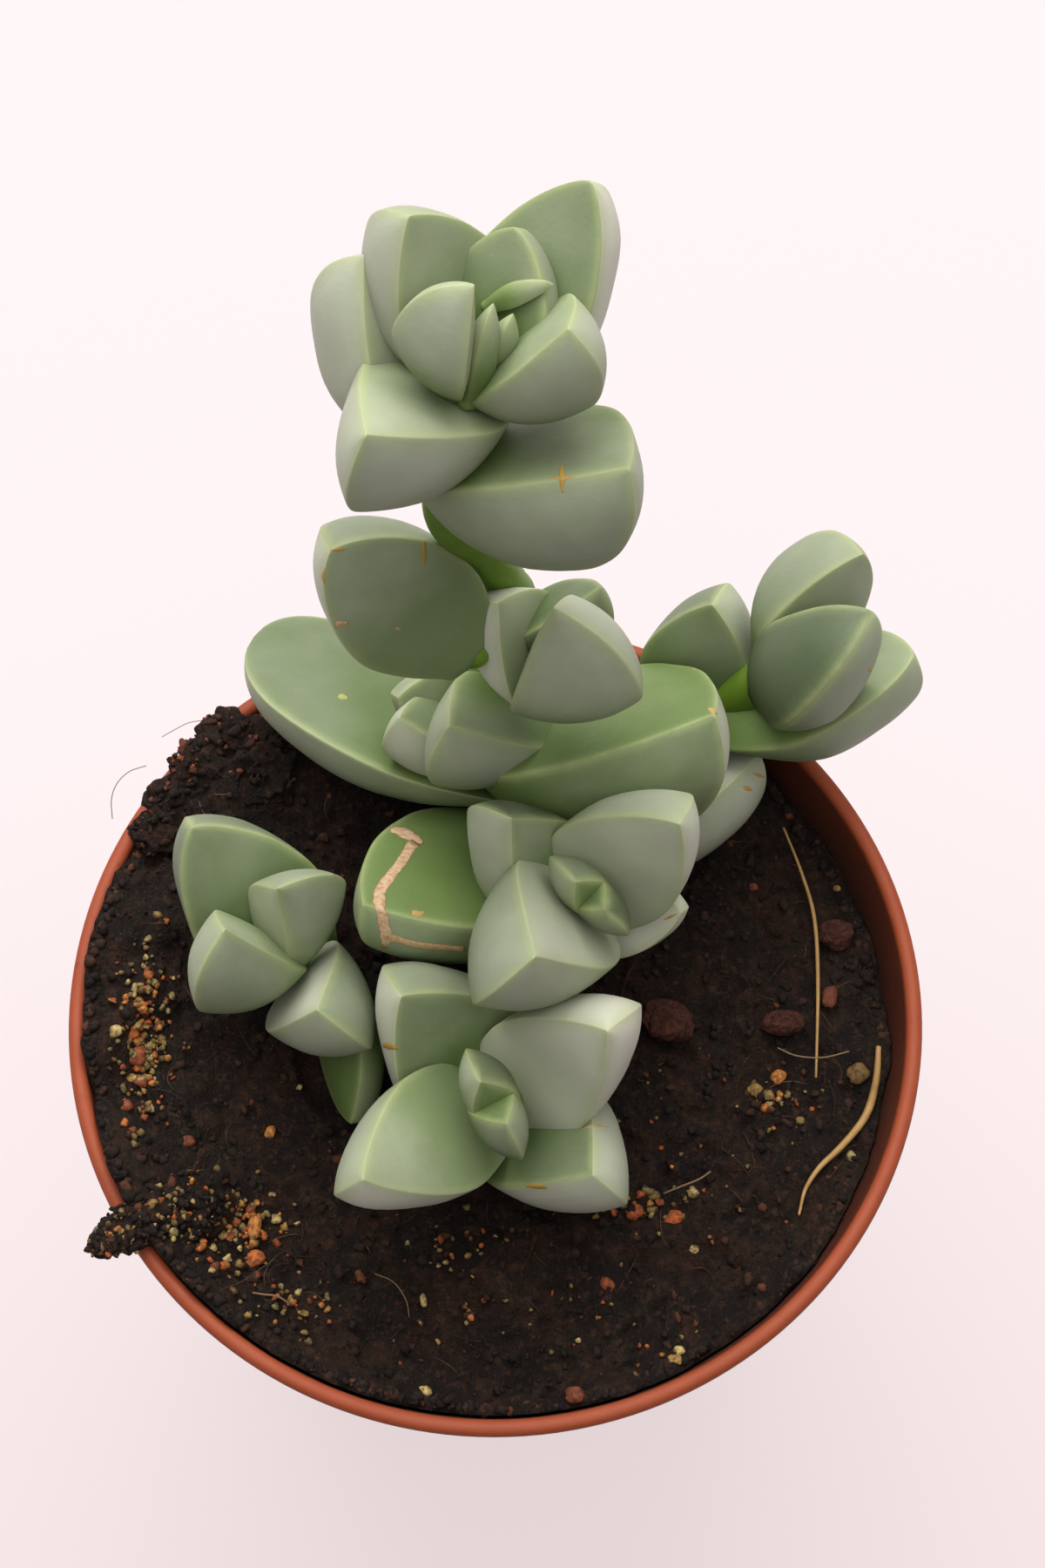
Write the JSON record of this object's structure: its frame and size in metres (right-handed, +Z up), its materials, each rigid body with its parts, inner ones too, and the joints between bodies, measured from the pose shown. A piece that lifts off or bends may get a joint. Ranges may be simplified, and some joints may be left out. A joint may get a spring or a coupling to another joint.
{
  "type": "potted succulent",
  "caption": "Small nursery pot of dark peat with a clump of short leafy shoots, their thick three-angled leaves grey-green with pale ridges.",
  "frame": {"origin": "centre of the pot's flat underside", "axes": "+Z up along the pot's axis, the viewer of the picture looks along +Y from above, the tall shoot leans over the rim at +Y"},
  "size_m": [0.06, 0.06, 0.1138],
  "materials": {
    "flower_pot": "satin",
    "potting_soil": "rough",
    "succulent_leaf": "matt, waxy",
    "lava_stone": "rough",
    "dry_straw": "matt"
  },
  "bodies": {
    "root": {"flower_pot": "flower_pot", "potting_soil": "potting_soil", "main_leafy_stem": "succulent_leaf", "right_leafy_shoot": "succulent_leaf", "centre_leafy_shoot": "succulent_leaf", "left_leafy_shoot": "succulent_leaf", "front_leafy_shoot": "succulent_leaf", "lava_stone_1": "lava_stone", "lava_stone_2": "lava_stone", "lava_stone_3": "lava_stone", "dry_straw": "dry_straw", "pale_root": "dry_straw"}
  },
  "joints": []
}
